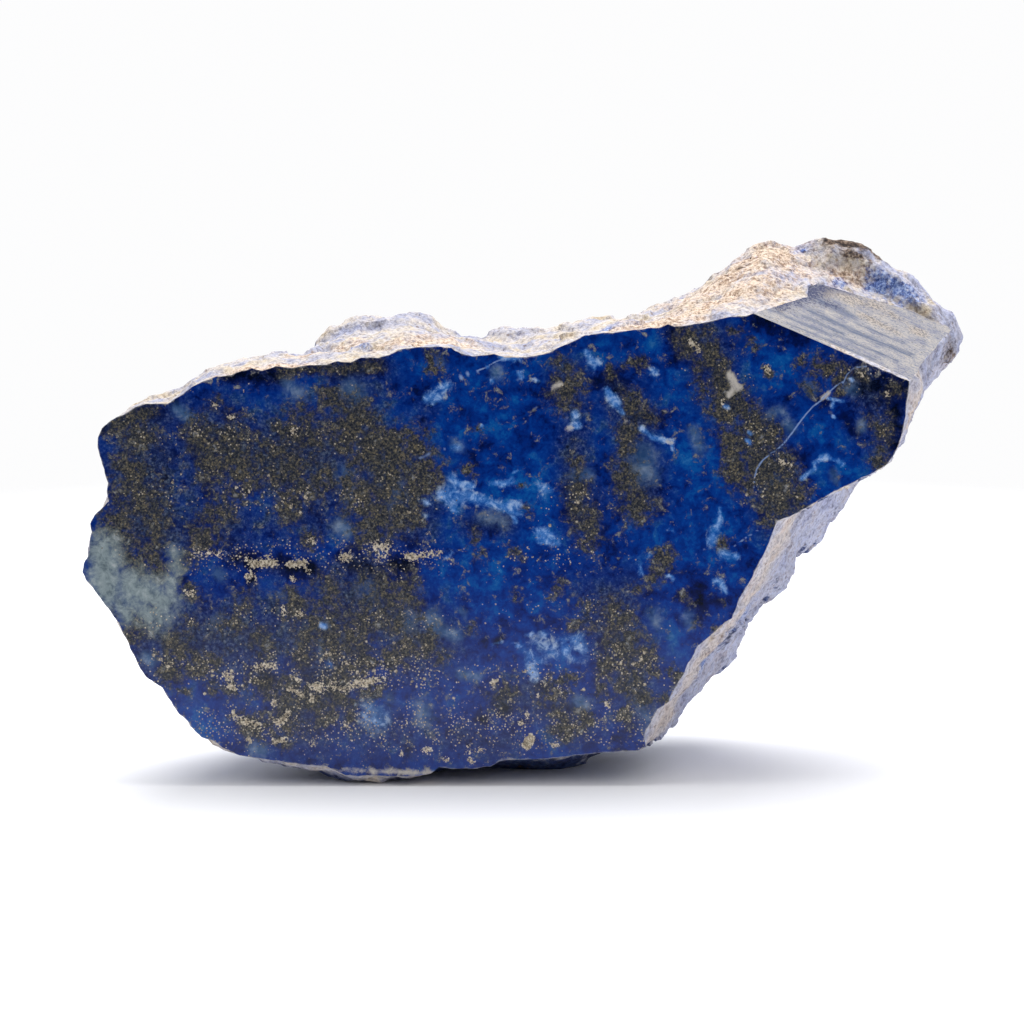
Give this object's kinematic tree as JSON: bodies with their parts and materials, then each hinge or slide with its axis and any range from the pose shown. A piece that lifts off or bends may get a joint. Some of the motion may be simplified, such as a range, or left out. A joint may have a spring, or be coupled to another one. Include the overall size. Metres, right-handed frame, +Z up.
{
  "type": "polished lapis lazuli",
  "caption": "Rough chunk of lapis lazuli with one large flat polished face, a small sawn facet and broken natural sides, standing on a small flat spot.",
  "frame": {"origin": "on the surface that the stone stands on, under the middle of its box", "axes": "+X along the stone's length towards the sawn facet, -Y out of the polished face, +Z up"},
  "size_m": [0.123, 0.0374, 0.0725],
  "materials": {
    "stone": "polished on the front face, rough elsewhere"
  },
  "bodies": {
    "root": {"lapis_lazuli": "stone"}
  },
  "joints": []
}
